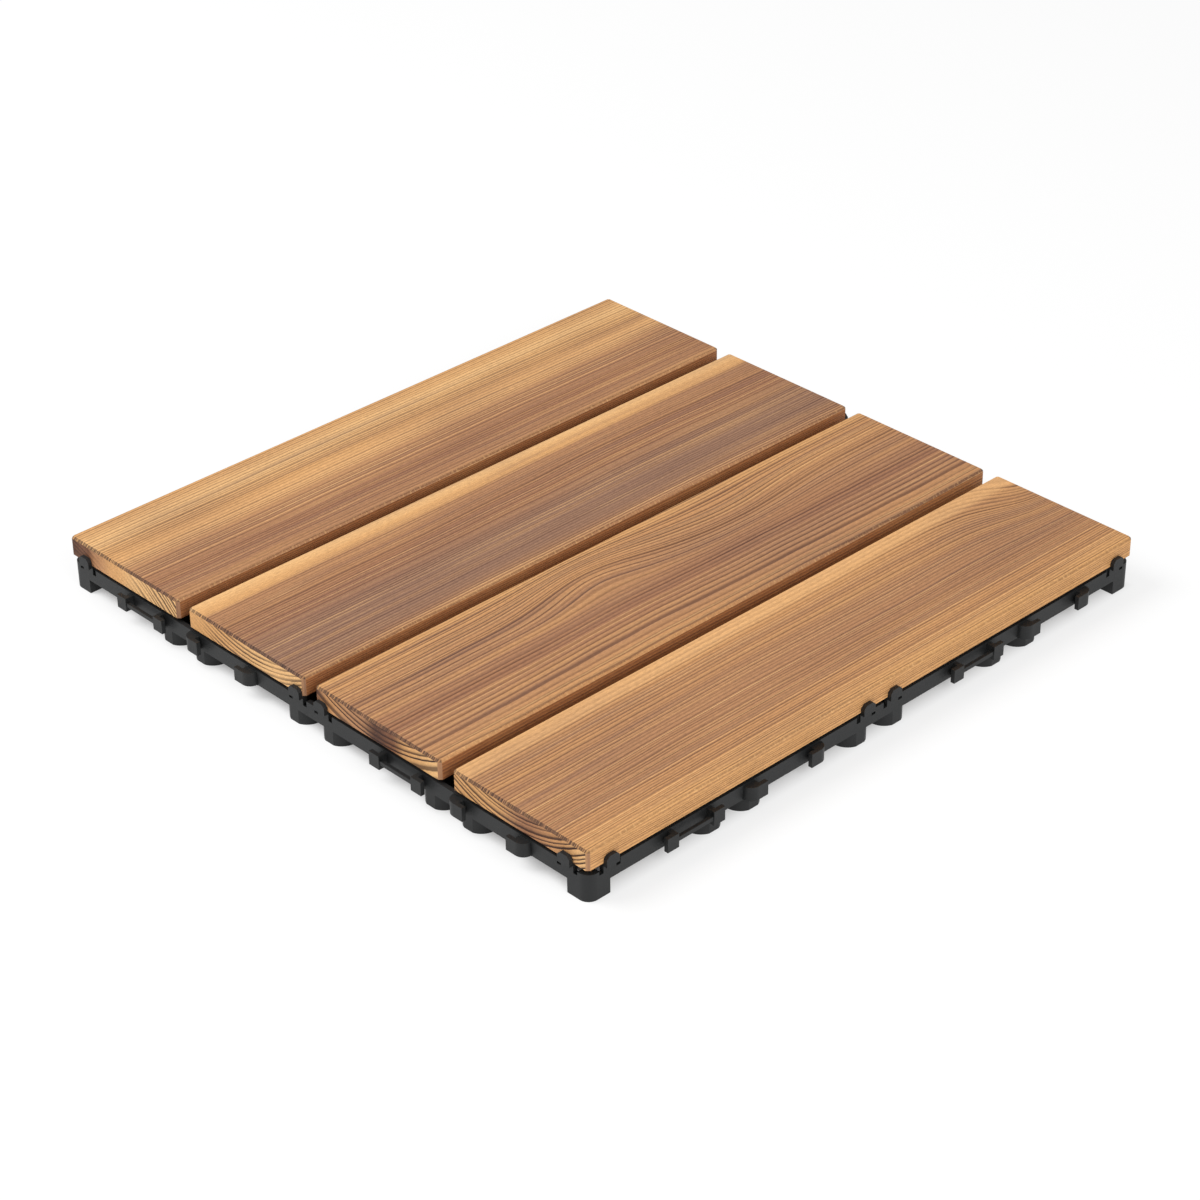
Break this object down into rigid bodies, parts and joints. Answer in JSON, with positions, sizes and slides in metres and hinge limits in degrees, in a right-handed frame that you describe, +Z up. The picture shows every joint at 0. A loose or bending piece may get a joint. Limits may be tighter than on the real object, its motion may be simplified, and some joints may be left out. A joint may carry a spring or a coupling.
{
  "type": "interlocking deck tile",
  "caption": "Square deck tile of wooden slats on a plastic grid whose edges hook onto the next tile.",
  "frame": {"origin": "centre of the tile on the ground, level with the undersides of its feet", "axes": "+Z up through the wood; +Y along the slats; +X across the slats, from slat_1 to slat_4"},
  "size_m": [0.3038, 0.3038, 0.0222],
  "materials": {
    "base_plastic": "fine moulded grain",
    "slat_wood": "planed, heat-treated, unvarnished",
    "screw_steel": "zinc plated"
  },
  "bodies": {
    "root": {"deck_base": "base_plastic", "slat_1": "slat_wood", "slat_2": "slat_wood", "slat_3": "slat_wood", "slat_4": "slat_wood", "slat_screws": "screw_steel"}
  },
  "joints": []
}
